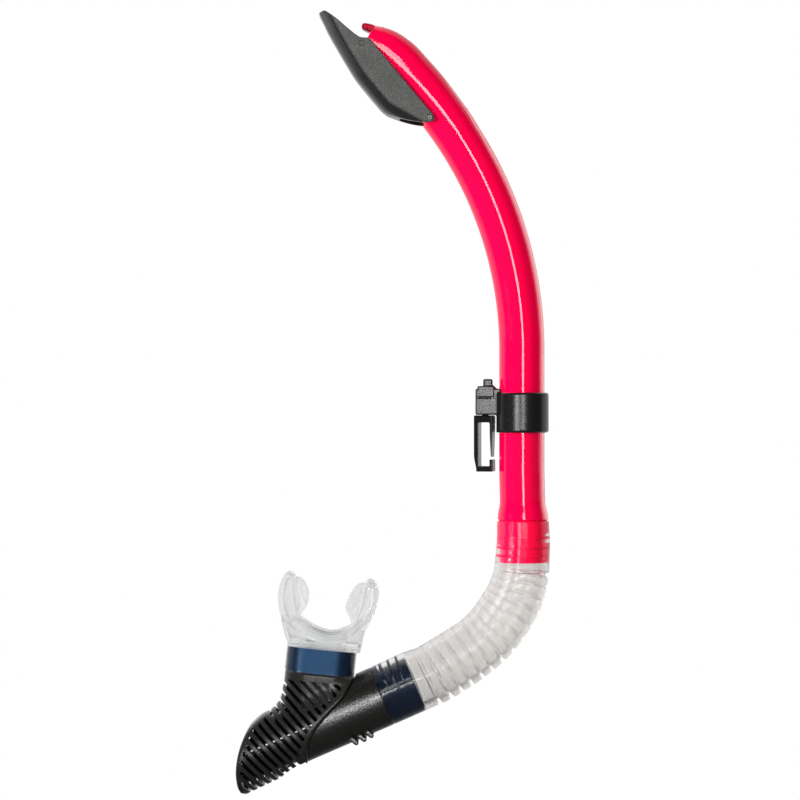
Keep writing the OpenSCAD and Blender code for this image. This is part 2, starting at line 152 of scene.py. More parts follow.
def segment(x, z, start, end):
    """Share along a segment in XZ of the nearest point, and the distance to it."""
    ex, ez = end[0] - start[0], end[1] - start[1]
    t = np.clip(((x - start[0]) * ex + (z - start[1]) * ez) / (ex ** 2 + ez ** 2), 0, 1)
    return t, np.hypot(x - start[0] - t * ex, z - start[1] - t * ez)


def body_place(x, z):
    """Run along the body's axis from the joint (towards the hose), and offset across it."""
    dx, dz = x - JOINT[0], z - JOINT[1]
    return dx * BODY_DIR[0] + dz * BODY_DIR[1], -dx * BODY_DIR[1] + dz * BODY_DIR[0]


def port_place(x, z):
    """Height along the port's axis from the joint, and offset across it."""
    dx, dz = x - JOINT[0], z - JOINT[1]
    return (dx * PORT_DIR[0] + dz * PORT_DIR[1],
            dx * PORT_ACROSS[0] + dz * PORT_ACROSS[1])


# ------------------------------------------------------------------ outlines in XZ
def catmull_rom(p0, p1, p2, p3, t):
    return 0.5 * ((2 * p1) + (p2 - p0) * t + (2 * p0 - 5 * p1 + 4 * p2 - p3) * t * t
                  + (3 * p1 - p0 - 3 * p2 + p3) * t ** 3)


def smooth(stations, pieces):
    """A curve through the stations, with so many pieces between each pair."""
    stations = [np.array(p, float) for p in stations]
    last = len(stations) - 1
    curve = []
    for i in range(last):
        around = [stations[k] for k in (max(i - 1, 0), i, i + 1, min(i + 2, last))]
        curve += [tuple(catmull_rom(*around, k / pieces)) for k in range(pieces)]
    return curve + [tuple(stations[-1])]


def polygon_distance(points, x, z):
    """Signed distance to a closed outline, negative inside."""
    points = np.array(points, float)
    nearest, inside = np.inf, False
    for a, b in zip(points, np.roll(points, -1, 0)):
        edge = b - a
        length2 = float(edge @ edge)
        if length2 < 1e-9:
            continue
        t = np.clip(((x - a[0]) * edge[0] + (z - a[1]) * edge[1]) / length2, 0, 1)
        distance2 = (x - a[0] - t * edge[0]) ** 2 + (z - a[1] - t * edge[1]) ** 2
        nearest = np.minimum(nearest, distance2)
        if abs(edge[1]) > 1e-12:
            crossing = edge[0] * (z - a[1]) / edge[1] + a[0]
            inside = inside ^ (((a[1] > z) != (b[1] > z)) & (x < crossing))
    return np.where(inside, -1, 1) * np.sqrt(nearest)


class PlaneField:
    """A distance in XZ kept on a fine grid and read by bilinear interpolation."""

    def __init__(self, distance, low, high, step):
        self.low, self.step = low, step
        x, z = (low[i] + step * np.arange(int(math.ceil((high[i] - low[i]) / step)) + 1)
                for i in range(2))
        self.grid = distance(x[:, None], z[None, :]).astype(np.float32)

    def __call__(self, x, z):
        grid, step = self.grid, self.step
        column = np.clip((x - self.low[0]) / step, 0, grid.shape[0] - 1.001)
        row = np.clip((z - self.low[1]) / step, 0, grid.shape[1] - 1.001)
        column, row = np.broadcast_arrays(column, row)
        i, k = column.astype(np.int32), row.astype(np.int32)
        a, b = column - i, row - k
        return ((grid[i, k] * (1 - a) + grid[i + 1, k] * a) * (1 - b)
                + (grid[i, k + 1] * (1 - a) + grid[i + 1, k + 1] * a) * b)


def outline(points, low, high, step):
    return PlaneField(lambda x, z: polygon_distance(points, x, z), low, high, step)


# ------------------------------------------------------------------ meshes
def make_mesh(name, points, faces, normals=None):
    mesh = bpy.data.meshes.new(name)
    mesh.vertices.add(len(points))
    metres = (np.asarray(points, float) * 0.001).astype(np.float32)
    mesh.vertices.foreach_set("co", metres.ravel())
    faces = np.asarray(faces, np.int32)
    mesh.loops.add(faces.size)
    mesh.loops.foreach_set("vertex_index", faces.ravel())
    mesh.polygons.add(len(faces))
    starts = np.arange(0, faces.size, faces.shape[1], dtype=np.int32)
    mesh.polygons.foreach_set("loop_start", starts)
    mesh.polygons.foreach_set("use_smooth", np.ones(len(faces), bool))
    mesh.update()
    mesh.validate()
    if normals is not None:
        mesh.normals_split_custom_set_from_vertices(normals.astype(np.float32).tolist())
    ob = bpy.data.objects.new(name, mesh)
    bpy.context.scene.collection.objects.link(ob)
    return ob


def drop_crumbs(points, quads, keep=400):
    """Leaves out loose scraps of fewer than keep faces."""
    label = np.arange(len(points))
    while True:
        lowest = label[quads].min(1)
        spread = label.copy()
        for i in range(4):
            np.minimum.at(spread, quads[:, i], lowest)
        spread = spread[spread]
        if (spread == label).all():
            break
        label = spread
    face_label = label[quads[:, 0]]
    labels, counts = np.unique(face_label, return_counts=True)
    quads = quads[np.isin(face_label, labels[counts >= keep])]
    used = np.unique(quads)
    renumber = np.full(len(points), -1)
    renumber[used] = np.arange(len(used))
    return points[used], renumber[quads]


def gradient(field, points, reach):
    slope = np.empty_like(points)
    for i in range(3):
        shift = np.zeros(3)
        shift[i] = reach
        slope[:, i] = (field(*(points + shift).T) - field(*(points - shift).T)) / (2 * reach)
    return slope


def field_mesh(name, field, low, high, step):
    """Quads on a field's zero surface, with normals taken from the field."""
    axes = [np.arange(low[i], high[i] + step, step, dtype=np.float32) for i in range(3)]
    values = np.empty(tuple(len(a) for a in axes), np.float32)
    y, z = axes[1][None, :, None], axes[2][None, None, :]
    slab = 24   # x layers worked out at a time, to save memory
    for i in range(0, len(axes[0]), slab):
        values[i:i + slab] = field(axes[0][i:i + slab, None, None], y, z)
    np.clip(values, -4 * step, 4 * step, out=values)
    grid = openvdb.FloatGrid()
    grid.copyFromArray(values)
    points, quads = grid.convertToQuads(isovalue=0.0)
    points = points.astype(float) * step + np.array([a[0] for a in axes], float)
    points, quads = drop_crumbs(points, quads.astype(np.int64))
    # pull the points onto the true surface
    for _ in range(3):
        distance = field(*points.T)
        slope = gradient(field, points, 0.06)
        move = distance / np.maximum((slope * slope).sum(1), 0.2)
        points = points - np.clip(move, -0.5 * step, 0.5 * step)[:, None] * slope
    normals = gradient(field, points, 0.12)
    normals /= np.maximum(np.linalg.norm(normals, axis=1), 1e-9)[:, None]
    a, b, c = (points[quads[:, i]] for i in range(3))
    if (np.cross(b - a, c - a) * normals[quads[:, 0]]).sum() < 0:
        quads = quads[:, ::-1]
    return make_mesh(name, points, quads, normals)


# ------------------------------------------------------------------ shader nodes
class Nodes:
    """A node tree, with short ways to add the nodes used here."""

    def __init__(self, owner, output="OutputMaterial"):
        owner.use_nodes = True
        owner.node_tree.nodes.clear()
        self.owner, self.tree = owner, owner.node_tree
        self.output = self.add(output)

    def add(self, kind, inputs=None, **settings):
        """A node with its settings, and its inputs by number or name."""
        node = self.tree.nodes.new("ShaderNode" + kind)
        for key, value in settings.items():
            setattr(node, key, value)
        for key, value in (inputs or {}).items():
            self.feed(node.inputs[key], value)
        return node

    def feed(self, socket, value):
        """Gives an input a number or a colour, or links it to a node or an output."""
        if isinstance(value, (int, float)):
            socket.default_value = value
        elif isinstance(value, tuple):
            socket.default_value = (*value, 1)
        else:
            source = value.outputs[0] if isinstance(value, bpy.types.Node) else value
            self.tree.links.new(source, socket)

    def finish(self, shader):
        self.feed(self.output.inputs[0], shader)
        return self.owner

    def math(self, operation, *values):
        return self.add("Math", dict(enumerate(values)), operation=operation)

    def plus(self, a, b):
        return self.math("ADD", a, b)

    def minus(self, a, b):
        return self.math("SUBTRACT", a, b)

    def times(self, a, b):
        return self.math("MULTIPLY", a, b)

    def remap(self, value, span, to=(0, 1), kind="SMOOTHSTEP"):
        """Carries the span of a value over to another span, clamped."""
        inputs = dict(enumerate((value, *span, *to)))
        return self.add("MapRange", inputs, interpolation_type=kind)

    def mix(self, factor, first, second):
        return self.add("Mix", {0: factor, 6: first, 7: second}, data_type="RGBA").outputs[2]

    def mix_shader(self, factor, first, second):
        return self.add("MixShader", {0: factor, 1: first, 2: second})

    def ramp(self, factor, stops):
        node = self.add("ValToRGB", {0: factor})
        elements = node.color_ramp.elements
        while len(elements) < len(stops):
            elements.new(0.5)
        for element, (position, colour) in zip(elements, stops):
            element.position = position
            element.color = (*colour, 1)
        return node

    def separate(self, vector):
        return self.add("SeparateXYZ", {0: vector})

    def along(self, axes, point, direction):
        """Metres past a point (mm) along a direction, both in XZ."""
        return self.plus(*(
            self.times(self.minus(axes.outputs[axis], float(point[i]) * 0.001), float(direction[i]))
            for i, axis in enumerate("XZ")))

    def bump(self, height, distance, strength):
        return self.add("Bump", {"Height": height, "Distance": distance, "Strength": strength})


class Surface(Nodes):
    """The node tree of a new material, with object coordinates for its noises."""

    def __init__(self, name):
        super().__init__(bpy.data.materials.new(name))
        self.coords = self.add("TexCoord").outputs["Object"]

    def noise(self, scale, detail=2.0, roughness=0.5):
        return self.add("TexNoise", {"Scale": scale, "Detail": detail, "Roughness": roughness,
                                     "Vector": self.coords}).outputs["Fac"]


# ------------------------------------------------------------------ materials
def grained(name, dark, light, rough, grain, depth):
    """Moulded plastic: fine grain with a slight mottle, smoother where the grain stands up."""
    tree = Surface(name)
    fine = tree.noise(grain, detail=3.0, roughness=0.75)
    mottle = tree.noise(160.0, detail=4.0, roughness=0.6)
    broad = tree.noise(22.0)
    tone = tree.plus(tree.times(fine, 0.8), tree.times(mottle, 0.2))
    gloss = tree.remap(fine, (0.34, 0.66), to=(rough + 0.08, rough - 0.08))
    return tree.finish(tree.add("BsdfPrincipled", {
        "Base Color": tree.mix(tree.remap(tone, (0.34, 0.66), kind="LINEAR"), dark, light),
        "Roughness": tree.plus(gloss, tree.remap(broad, (0.3, 0.7), to=(-0.03, 0.03))),
        "Normal": tree.bump(fine, distance=depth, strength=0.8)}))


def guard_grey():
    """Coarse grain on the flat flanks, which are painted a lighter grey as painted sheen; near-black
    and smoother on the rounded edges.
    """
    tree = Surface("guard_grain_painted_sheen")
    sideways = tree.separate(tree.add("TexCoord").outputs["Normal"]).outputs["Y"]
    flat = tree.remap(tree.math("ABSOLUTE", sideways), (0.90, 0.985))
    fine = tree.noise(1750.0, roughness=0.7)
    mottle = tree.noise(90.0, detail=3.0)
    tone = tree.plus(tree.times(fine, 0.85), tree.times(mottle, 0.15))
    # painted sheen: faces turned along Y get a lighter grey base over their real grain; the rounded
    # edges keep the near-black
    flank_sheen = tree.ramp(tone, [(0.28, (0.024, 0.025, 0.024)), (0.50, (0.060, 0.062, 0.058)),
                             (0.72, (0.130, 0.132, 0.122))])
    edge = tree.mix(fine, (0.004, 0.004, 0.0042), (0.012, 0.012, 0.012))
    return tree.finish(tree.add("BsdfPrincipled", {
        "Base Color": tree.mix(flat, edge, flank_sheen),
        "Roughness": tree.remap(flat, (0, 1), to=(0.30, 0.62), kind="LINEAR"),
        "Specular IOR Level": tree.remap(flat, (0, 1), to=(0.95, 0.40), kind="LINEAR"),
        "Normal": tree.bump(fine, distance=0.00008, strength=0.7)}))


def barrel_red():
    """Glossy red; the thin lip at the barrel's tip is painted a darker red as painted shade."""
    tree = Surface("barrel_red_gloss")
    axes = tree.separate(tree.coords)
    red = tree.mix(tree.noise(18.0, detail=3.0), (0.90, 0.0002, 0.050), (0.93, 0.0004, 0.060))
    # painted shade: the thin lip at the tip gets a much darker red base colour
    lip = tree.times(tree.remap(axes.outputs["X"], (-0.0595, -0.0625)),
                     tree.remap(axes.outputs["Z"], (0.2255, 0.2265)))
    gloss = tree.remap(tree.noise(90.0), (0.3, 0.7), to=(0.035, 0.055))
    return tree.finish(tree.add("BsdfPrincipled", {
        "Base Color": tree.mix(lip, red, (0.36, 0.0, 0.02)),
        "Roughness": tree.plus(gloss, tree.times(lip, 0.1)),
        "Specular IOR Level": tree.remap(lip, (0, 1), to=(0.40, 0.06), kind="LINEAR"),
        # slight waviness that breaks long highlights
        "Normal": tree.bump(tree.noise(46.0), distance=0.0006, strength=0.07)}))


def silicone(name, tint, haze, milk, shade, neck=None, ribbed=False):
    """Clear silicone: warm, hazy and uneven, under a milky veil that lets light through.

    The veil thins where it sits tight over a spigot: below the point neck on the port, or
    where the attribute "free" of a ribbed mesh is 0.
    """
    tree = Surface(name)
    cloud = tree.noise(60.0, detail=3.0)
    colour = tree.mix(cloud, tint, tuple(min(1.0, v * 1.03) for v in tint))
    refraction, veil, free = 1.36, milk, None
    if ribbed:
        # each ridge is cloudier at its crown; the fold beside it is painted darker as painted shade
        free, crown = (tree.add("Attribute", attribute_name=key).outputs["Fac"]
                       for key in ("free", "crown"))
        veil = tree.times(tree.plus(tree.times(crown, 1.35), 0.20), milk)
        fold_shade = tree.remap(crown, (0.02, 0.26), to=(0.55, 0.0), kind="LINEAR")
        colour = tree.mix(tree.times(fold_shade, free), colour, (0.42, 0.41, 0.41))
    elif neck is not None:
        below = tree.along(tree.separate(tree.coords), neck, -PORT_DIR)
        free = tree.remap(below, (-0.0004, 0.0004), to=(1, 0))
        refraction = tree.remap(free, (0, 1), to=(1.15, 1.36), kind="LINEAR")
    if free is not None:
        veil = tree.times(tree.plus(tree.times(free, 0.98), 0.02), veil)
    uneven = tree.noise(240.0, detail=3.0, roughness=0.6)
    clear = tree.add("BsdfPrincipled", {
        "Base Color": colour,
        "Roughness": tree.remap(uneven, (0.3, 0.7), to=(haze * 0.6, haze * 1.4)),
        "Transmission Weight": 1.0,
        "IOR": refraction,
        "Normal": tree.bump(tree.noise(130.0), distance=0.0005, strength=0.08)})
    white = tree.mix(cloud, tuple(v * 0.97 for v in shade), shade)
    milky = tree.mix_shader(0.55, tree.add("BsdfDiffuse", {0: white}),
                            tree.add("BsdfTranslucent", {0: white}))
    shadow = tree.add("BsdfTransparent", {0: (0.93, 0.925, 0.92)})
    return tree.finish(tree.mix_shader(
        tree.add("LightPath").outputs["Is Shadow Ray"],
        tree.mix_shader(veil, clear, milky), shadow))


def body_black():
    """Satin black, glossier under the cover, and blue-black and polished on the two spigots."""
    tree = Surface("body_satin_black")
    axes = tree.separate(tree.coords)
    step = (-0.0004, 0.0004)
    on_hose_spigot = tree.remap(tree.along(axes, SHOULDER, BODY_DIR), step)
    on_port = tree.remap(tree.along(axes, JOINT + 29.2 * PORT_DIR, PORT_DIR), step)
    across = tree.along(axes, JOINT, PORT_ACROSS)
    within = tree.remap(tree.math("ABSOLUTE", across), (0.0178, 0.0184), to=(1, 0))
    on_port = tree.times(on_port, within)
    spigots = tree.math("MAXIMUM", on_hose_spigot, on_port)
    fine = tree.noise(1150.0, detail=3.0, roughness=0.75)
    mottle = tree.noise(170.0, detail=4.0, roughness=0.6)

    # the mouthpiece spigot is bluer; it is painted darker towards both ends of its oval as painted
    # shade
    polished = tree.mix(mottle, (0.0008, 0.0025, 0.006), (0.002, 0.006, 0.015))
    wavy = tree.math("ABSOLUTE", tree.plus(across, tree.times(mottle, 0.002)))
    ends = tree.remap(wavy, (0.0090, 0.0125))
    polished = tree.mix(tree.times(ends, on_port),
                        tree.mix(on_port, polished, (0.008, 0.026, 0.060)),
                        (0.0015, 0.006, 0.016))

    past_seam = tree.along(tree.separate(tree.coords), (-90.4, -152.5), (-0.823, 0.568))
    under_cover = tree.remap(past_seam, (0.0009, 0.0016))
    satin = tree.mix(tree.remap(fine, (0.34, 0.66), kind="LINEAR"),
                     (0.0008, 0.0008, 0.0008), (0.008, 0.0078, 0.0070))
    satin = tree.mix(under_cover, satin, (0.0008, 0.0008, 0.0008))
    glossy = tree.math("MAXIMUM", spigots, under_cover)
    grain_rough = tree.times(tree.remap(fine, (0.36, 0.64), to=(0.36, 0.15)),
                             tree.minus(1.0, glossy))
    return tree.finish(tree.add("BsdfPrincipled", {
        "Base Color": tree.mix(spigots, satin, polished),
        "Specular IOR Level": tree.remap(under_cover, (0, 1), to=(0.5, 0.2)),
        "Roughness": tree.plus(grain_rough, tree.times(glossy, 0.10)),
        "Normal": tree.bump(fine, distance=0.00014,
                            strength=tree.minus(0.85, tree.times(glossy, 0.8)))}))


RED = barrel_red()
GUARD_GRAIN_SHEEN = guard_grey()
RIVET_GREY = grained("rivet_grey", dark=(0.09, 0.09, 0.088), light=(0.20, 0.20, 0.19),
                     rough=0.40, grain=1800.0, depth=0.00005)
KEEPER_BLACK = grained("keeper_black", dark=(0.003, 0.0028, 0.0028),
                       light=(0.008, 0.0075, 0.007), rough=0.22, grain=1500.0, depth=0.00006)
COVER_BLACK = grained("cover_satin_black", dark=(0.003, 0.003, 0.0028),
                      light=(0.020, 0.0195, 0.0175), rough=0.26, grain=1200.0, depth=0.00014)
BODY_BLACK = body_black()
HOSE_CLEAR = silicone("clear_silicone", tint=(0.84, 0.83, 0.82), haze=0.10, milk=0.17,
                      shade=(0.58, 0.567, 0.55), ribbed=True)
MOUTH_CLEAR = silicone("clear_silicone_mouth", tint=(0.84, 0.845, 0.845), haze=0.12, milk=0.34,
                       shade=(0.58, 0.59, 0.59), neck=JOINT + 42.8 * PORT_DIR)
VALVE_CLEAR = silicone("valve_silicone", tint=(0.90, 0.90, 0.89), haze=0.12, milk=0.25,
                       shade=(0.66, 0.645, 0.62))


# ------------------------------------------------------------------ splash guard outlines
def draw_in(points, scale=0.9913):
    """Stations of the splash guard, drawn in about the view's centre."""
    return [tuple(c + scale * (v - c) for v, c in zip(p, VIEW_CENTRE)) for p in points]


GUARD_STUD, GUARD_RIVET = draw_in([(-68.1, 220.9), (-30.4, 179.9)])
# x, z round the guard: foot, then up the rounded -X edge, then back along the top
GUARD_FOOT = draw_in([(-29.1, 182.0), (-27.9, 179.4), (-29.4, 177.6), (-35.4, 177.5),
                      (-41.5, 178.4), (-47.0, 179.8)])
GUARD_FRONT = draw_in([(-54.1, 182.0), (-57.2, 184.4), (-62.1, 190.0), (-67.0, 195.9),
                       (-71.9, 202.1), (-76.8, 210.0), (-81.7, 218.3), (-86.6, 226.9),
                       (-89.1, 232.1)]) + [(-91.6, 236.1)]
GUARD_TOP = [(-89.6, 236.8), (-87.7, 236.9)] + draw_in([
    (-82.2, 234.7), (-77.8, 230.9), (-73.9, 227.6), (-70.6, 225.1), (-68.4, 224.0), (-64.3, 223.8)])
guard_outline = outline(smooth(GUARD_FOOT, 4) + smooth(GUARD_FRONT, 5) + smooth(GUARD_TOP, 4),
                        (-105, 165), (-15, 250), 0.12)
front_outline = outline(draw_in([(-18, 161.5), (-38, 173.0)]) + smooth(GUARD_FRONT, 5)
                        + [(-97, 250), (60, 250), (60, 161.5)], (-110, 155), (-5, 255), 0.15)


# ------------------------------------------------------------------ barrel
# degrees round the bend; half height of the section's outer side
ROOF = ([0, 33, 34, 38, 40, 42, 45, 47, 48.6, 50.1, 51.8, 53.7, 56],
        [12.5, 12.6, 12.9, 13.1, 13.5, 13.9, 14.2, 14.9, 14.5, 13.9, 12.0, 8.2, 2.0])
ROOF_TURNS = np.linspace(0, 57, 400)
# a running mean rounds the corners of the table
ROOF_HEIGHTS = np.convolve(np.pad(np.interp(ROOF_TURNS, *ROOF), 6, "edge"),
                           np.ones(13) / 13, "valid")
# z; shift of the axis towards +X
LEAN = ([-70, -65, -55, -45, -15.5],
        [0.25, 0.30, 0.85, 0.70, 0.0])
# z; radius of the straight part, spigot first
BARREL_RADIUS = ([-70, -41.9, -41.4, -41.2, -39.5, -37.2, -35.2, -33.2, -31.0, 60],
                 [12.9, 12.9, 13.7, 14.0, 13.85, 13.5, 13.05, 12.65, 12.5, 12.5])
# x, z round what is cut off the barrel's tip
TIP_CUT = ([(-59.4, 245), (-59.4, 230.4), (-61.8, 227.3), (-63.2, 225.2)]
           + draw_in([(-65.2, 223.4), (-70.8, 223.2), (-71.3, 218.4), (-69.6, 216.6),
                      (-33.5, 177.2), (-36.5, 172.0)])
           + [(-60, 150), (-120, 190), (-120, 250)])
# x, z round the lip at the tip
TIP_LIP = [(-57.0, 227.6), (-59.6, 229.2), (-62.1, 230.4), (-64.6, 231.0), (-66.8, 231.2),
           (-67.8, 230.4), (-68.0, 228.9), (-67.3, 227.9), (-65.4, 227.0), (-63.2, 226.1),
           (-60.0, 226.8), (-56.0, 229.0)]
NUB = (-10.3, 184.1)   # x, z, on the outer side of the bend
tip_cut_outline = outline(TIP_CUT, (-130, 140), (60, 260), 0.25)
lip_outline = outline(smooth(TIP_LIP, 3), (-75, 215), (-45, 240), 0.1)


def barrel_outside(x, y, z):
    straight = z < BEND[1]
    turn = np.degrees(np.arctan2(np.maximum(z - BEND[1], 0), x - BEND[0]))
    offset = np.where(straight, x - TUBE_X - np.interp(z, *LEAN),
                      np.hypot(x - BEND[0], z - BEND[1]) - BEND_R)
    radius = np.interp(z, *BARREL_RADIUS)
    for drop in RING_DROPS:
        radius = radius + 0.5 * np.clip(1.8 - np.abs(z - (SHOULDER_Z - drop)) / 0.33, 0, 1)
    height = np.where(offset > 0, np.interp(turn, ROOF_TURNS, ROOF_HEIGHTS), TUBE_R)
    height = np.where(straight, radius, height)
    width = np.where(straight, radius, TUBE_R)
    return (np.sqrt((offset / height) ** 2 + (y / width) ** 2) - 1) * np.minimum(height, width)


def barrel(x, y, z):
    outside = barrel_outside(x, y, z)
    shell = cut(outside, outside + WALL)
    shell = round_max(shell, -tip_cut_outline(x, z), 0.5)
    lip = round_max(lip_outline(x, z), np.abs(y) - 4.6, 0.9)
    shell = soft_min(shell, lip, 0.7)
    nub = np.sqrt((x - NUB[0]) ** 2 + y * y + (z - NUB[1]) ** 2) - 0.85
    return round_max(soft_min(shell, nub, 0.3), SPIGOT_END - z, 0.3)


# ------------------------------------------------------------------ splash guard
GUARD_HALF = 14.4     # half width over the flanks
GUARD_ROUND = 9.0     # rounding from the -X edge to the flanks


def guard_outside(x, y, z):
    front = front_outline(x, z) + GUARD_ROUND
    side = np.abs(y) - (GUARD_HALF - GUARD_ROUND)
    return (np.hypot(np.maximum(front, 0), np.maximum(side, 0))
            + np.minimum(np.maximum(front, side), 0) - GUARD_ROUND)


def guard(x, y, z):
    outside = guard_outside(x, y, z)
    shell = round_max(cut(outside, outside + WALL), guard_outline(x, z), 0.45)
    # a hole for the snap stud, and a ring groove round the rivet head
    side = np.abs(y)
    from_stud = np.hypot(x - GUARD_STUD[0], z - GUARD_STUD[1])
    from_rivet = np.hypot(x - GUARD_RIVET[0], z - GUARD_RIVET[1])
    shell = cut(shell, np.maximum(from_stud - 1.46, 13.6 - side))
    groove = np.maximum(np.abs(from_rivet - 1.5) - 0.16, 14.2 - side)
    return soft_cut(shell, groove, 0.08)


def rivets(x, y, z):
    """Low domed heads on both flanks, with a dimple in each."""
    radius = np.hypot(x - GUARD_RIVET[0], z - GUARD_RIVET[1])
    side = np.abs(y)
    dome = np.maximum(side - (14.75 - 0.1 * radius * radius), 10.5 - side)
    dimple = np.hypot(radius, side - 15.1) - 0.75
    return soft_cut(round_max(radius - 1.3, dome, 0.2), dimple, 0.1)


def studs(x, y, z):
    """Flush snap studs in the guard's flanks."""
    radius = np.hypot(x - GUARD_STUD[0], z - GUARD_STUD[1])
    side = np.abs(y)
    return round_max(radius - 1.39, np.maximum(side - 14.42, 10.5 - side), 0.05)


# ------------------------------------------------------------------ keeper band and clip
def band(x, y, z):
    radius = np.hypot(x - TUBE_X, y)
    bore = radius - 12.53
    ring = round_max(radius - 14.85, np.abs(z - 17.4) - 11.0, 1.5)
    ring = round_max(ring, -bore, 0.25)
    # low down, the ring is left out on its -X side
    ring = round_max(ring, 6.05 - x - 60 * ease(16.9, 17.9, z), 0.3)
    block = box(x, y, z, centre=(1.5, 0, 23.3), half=(7.0, 6.0, 7.15), edge=0.8)
    top = box(x, y, z, centre=(0.1, 0, 29.0), half=(4.5, 6.0, 3.0), edge=0.7)
    knob = box(x, y, z, centre=(1.35, 0, 33.2), half=(2.6, 3.0, 2.7), edge=1.1)
    # web from the block to the ring, its top edge sloping down towards +X
    web = box(x, y, z, centre=(7.0, 0, 25.3), half=(3.6, 3.2, 7.6), edge=0.5)
    web = round_max(web, (x - 3.6) * 0.66 + (z - 33.0) * 0.75, 0.5)
    block = soft_min(soft_min(soft_min(block, top, 0.5), knob, 0.5), web, 0.6)
    # shallow slit round the block
    slit = np.maximum(np.abs(z - 25.2) - 0.3, np.maximum(5.7 - np.abs(y), x - 3.0))
    block = cut(cut(block, slit), bore)
    stud_hole = np.maximum(np.hypot(x, y) - 1.9, z - 29.1)
    return cut(soft_min(ring, block, 1.0), stud_hole)


CLIP_COS, CLIP_SIN = math.cos(rad(12)), math.sin(rad(12))   # the clip is turned about Z


def clip(x, y, z):
    """Upright loop; across runs from its -X bar to its +X bar."""
    across, through = x * CLIP_COS - y * CLIP_SIN, x * CLIP_SIN + y * CLIP_COS
    loop = box(across, through, z, centre=(-0.475, 0, 0.45), half=(5.275, 5.0, 15.45), edge=0.8)
    window = box(across, through, z, centre=(0, 0, 0), half=(3.1, 9.0, 12.0), edge=0.5)
    loop = round_max(loop, -window, 0.35)
    gap = np.maximum(np.abs(z + 7.65) - 0.65, 2.1 - across)
    loop = round_max(loop, -gap, 0.35)
    # above the gap the +X bar narrows downwards on both sides
    taper = np.clip((9.0 - z) / 16.0, 0, 1)
    shaved = np.minimum(np.maximum(across - 9, (4.8 - 0.75 * taper) - across),
                        np.maximum(across - (3.1 + 0.75 * taper), 2.0 - across))
    shaved = np.maximum(shaved, np.maximum(z - 11.2, -7.4 - z))
    loop = round_max(loop, -shaved, 0.3)
    # the -X bar leans in towards the foot
    loop = round_max(loop, (-5.75 + 1.5 * ease(-5.0, -15.0, z) - across), 0.3)
    # hole for the stud through the top bar, and a wider chamber inside it
    radius = np.hypot(x, y)
    loop = np.maximum(loop, -(radius - 1.92) - 100 * (z < 11.9))
    return cut(loop, np.maximum(radius - 2.9, np.maximum(11.5 - z, z - 14.55)))


# ------------------------------------------------------------------ lower body
# x, z along the seam of body and cover, upwards, and down the cover's -X side
SEAM = [(-97.7, -175.8), (-97.9, -166.6), (-94.3, -157.2), (-87.1, -147.6), (-78.3, -138.2),
        (-72.3, -128.2)]
COVER_SIDE = [(-110.2, -123.6), (-111.0, -129.8), (-113.6, -138.0), (-117.4, -145.2),
              (-123.0, -148.6), (-129.5, -155.0), (-132.8, -161.2), (-135.3, -169.4),
              (-136.4, -178.2), (-135.8, -185.9), (-134.0, -190.6)]
seam_outline = outline([(-97.6, -230)] + [(x + 0.3, z) for x, z in smooth(SEAM, 5)]
                       + [(-71.4, -127.5), (-71.4, -100), (20, -100), (20, -230)],
                       (-150, -230), (0, -90), 0.2)
cover_outline = outline(smooth(COVER_SIDE, 5) + [(-131.2, -191.9)] + smooth(SEAM, 5)
                        + [(-71.7, -127.5)], (-150, -205), (-55, -110), 0.15)
chamber_outline = outline(smooth(COVER_SIDE, 5) + [(-131.2, -191.9), (-97.7, -175.8),
                          (-60, -160), (-60, -118)], (-150, -205), (-40, -105), 0.2)
# x, z of both ends of the short ribs across the body's flanks
BODY_RIBS = [((-74.2, -160.6), (-70.9, -163.2)), ((-71.0, -158.0), (-66.5, -161.4)),
             ((-67.8, -155.2), (-62.6, -159.3))]
SPIGOT_R = 14.25
FACE_Z = JOINT[1] + (FACE_X - JOINT[0]) * math.tan(rad(BODY_SLOPE))   # body's axis at its face


def lower_body(x, y, z):
    run, up = body_place(x, z)
    height, across = port_place(x, z)
    radius = np.hypot(up, y)
    shell = round_max(radius - BODY_R, run - BODY_LENGTH, 0.35)
    shell = round_max(shell, seam_outline(x, z), 0.3)
    for start, end in BODY_RIBS:
        rib = round_max(segment(x, z, start, end)[1] - 1.3, np.abs(y) - 10.4, 0.8)
        shell = soft_min(shell, rib, 0.4)
    core = np.maximum(radius - 14.6, run - BODY_LENGTH)
    spigot = np.maximum(radius - SPIGOT_R, run - (BODY_LENGTH + CUFF - 0.9))
    for place in (5.4, 10.2, 15.0):   # rings on the spigot
        ring = np.hypot(np.maximum(np.abs(run - BODY_LENGTH - place) - 0.3, 0),
                        np.maximum(radius - SPIGOT_R, 0)) - 0.45
        spigot = np.minimum(spigot, ring)
    port = round_max(oval(across, y, 17.2, 11.0), height - 43.3, 0.5)
    port = np.maximum(port, 4 - height)
    solid = np.minimum(np.minimum(shell, core), np.minimum(spigot, port))
    solid = np.maximum(solid, FACE_X - x)
    # thin skirt that carries on towards -X, under the cover
    skirt = np.maximum(np.maximum(radius - 14.5, 13.2 - radius),
                       np.maximum(cover_outline(x, z) + 3.2, x + 118.0))
    solid = np.minimum(solid, skirt)
    air = np.maximum(radius - 11.6, -8 - run)
    bore = np.maximum(oval(across, y, 15.2, 9.0), -height)
    chamber = np.maximum(radius - 12.8, np.maximum(run - 9, -118.7 - x))
    seat = np.maximum(np.hypot(z - FACE_Z, y) - 12.2, np.abs(x + 124.85) - 6.25)
    return cut(solid, np.minimum(np.minimum(air, bore), np.minimum(chamber, seat)))


# ------------------------------------------------------------------ slotted cover
SLOT_PITCH, SLOT_WIDTH, SLOT_START = 4.12, 1.75, 2.6
SLOT_ANGLE = 46.5                 # between the slots' normal and Z, degrees
SLOT_ORIGIN = (-115, -160)        # x, z
